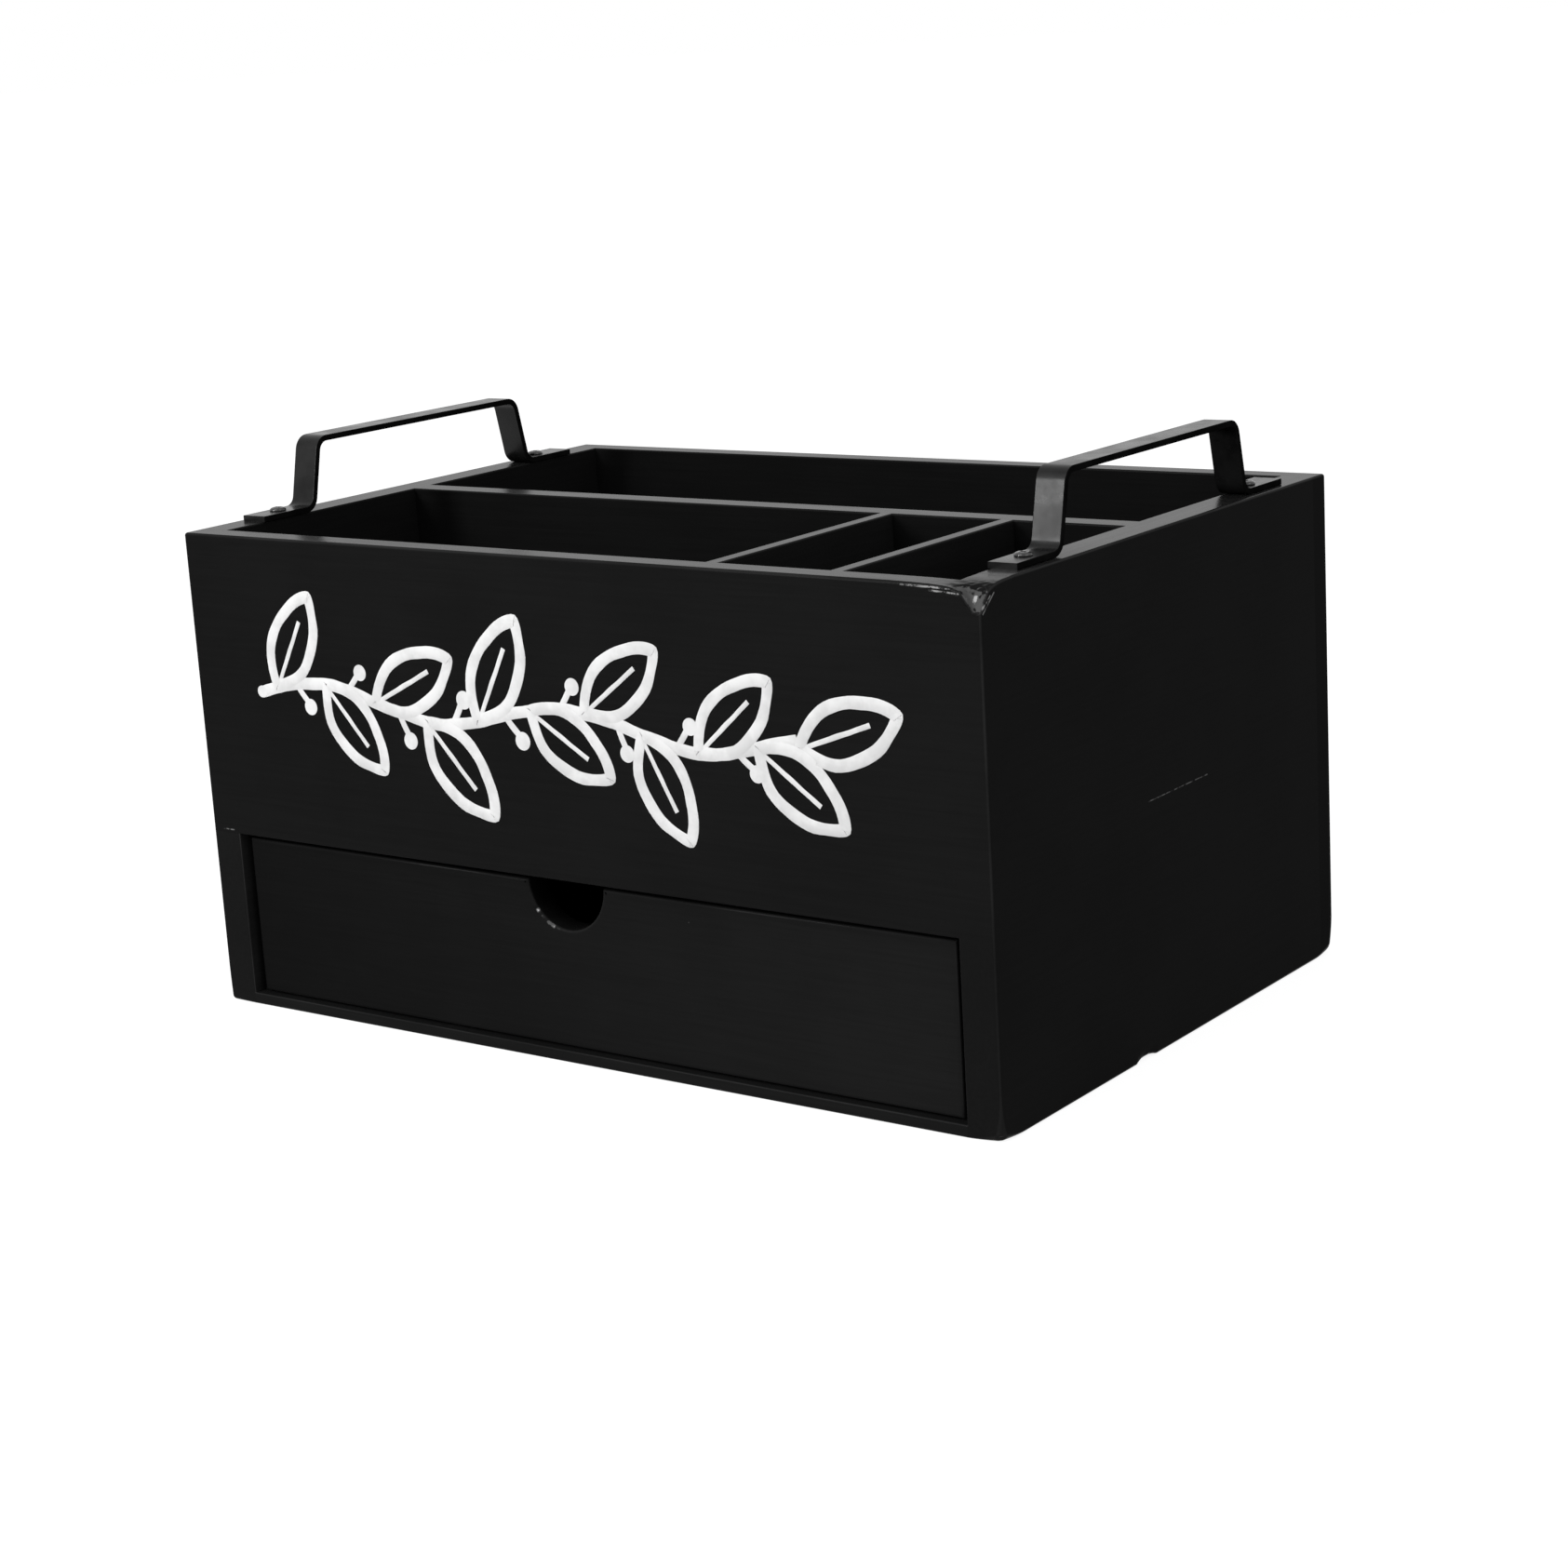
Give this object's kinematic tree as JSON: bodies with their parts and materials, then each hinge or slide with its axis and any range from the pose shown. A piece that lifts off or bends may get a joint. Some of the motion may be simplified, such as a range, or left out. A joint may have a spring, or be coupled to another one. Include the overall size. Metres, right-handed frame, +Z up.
{
  "type": "coffee station organizer",
  "caption": "Black painted wooden countertop box with open bins on top, a finger-notch drawer below and steel strap handles on the end rims.",
  "frame": {"origin": "middle of the underside, on the surface that the box stands on", "axes": "+X to the right along the width, seen from the front; the front with the drawer faces -Y; +Z up"},
  "size_m": [0.312, 0.21, 0.187],
  "materials": {
    "black_painted_wood": "matte to satin black paint over fine grain, worn at edges and corners",
    "black_steel": "satin black powder coat",
    "black_screw": "black oxide, satin",
    "brad_steel": "bright wire",
    "white_paint": "matte white brush paint"
  },
  "bodies": {
    "box": {"left_end_panel": "black_painted_wood", "right_end_panel": "black_painted_wood", "front_panel": "black_painted_wood", "back_panel": "black_painted_wood", "base_board": "black_painted_wood", "bin_floor": "black_painted_wood", "long_divider": "black_painted_wood", "left_cross_divider": "black_painted_wood", "right_cross_divider": "black_painted_wood", "left_handle": "black_steel", "right_handle": "black_steel", "left_handle_screws": "black_screw", "right_handle_screws": "black_screw", "front_panel_brads": "brad_steel", "back_panel_brads": "brad_steel", "base_board_brads": "brad_steel", "bin_floor_brads": "brad_steel", "long_divider_brads": "brad_steel", "cross_divider_brads": "brad_steel"},
    "drawer": {"drawer_front": "black_painted_wood", "drawer_left_side": "black_painted_wood", "drawer_right_side": "black_painted_wood", "drawer_back": "black_painted_wood", "drawer_bottom": "black_painted_wood", "drawer_front_brads": "brad_steel", "drawer_back_brads": "brad_steel"}
  },
  "joints": [
    {"name": "drawer_slide", "type": "slide", "parent": "box", "child": "drawer", "axis": [0, -1, 0], "range_m": [0, 0.15]}
  ]
}
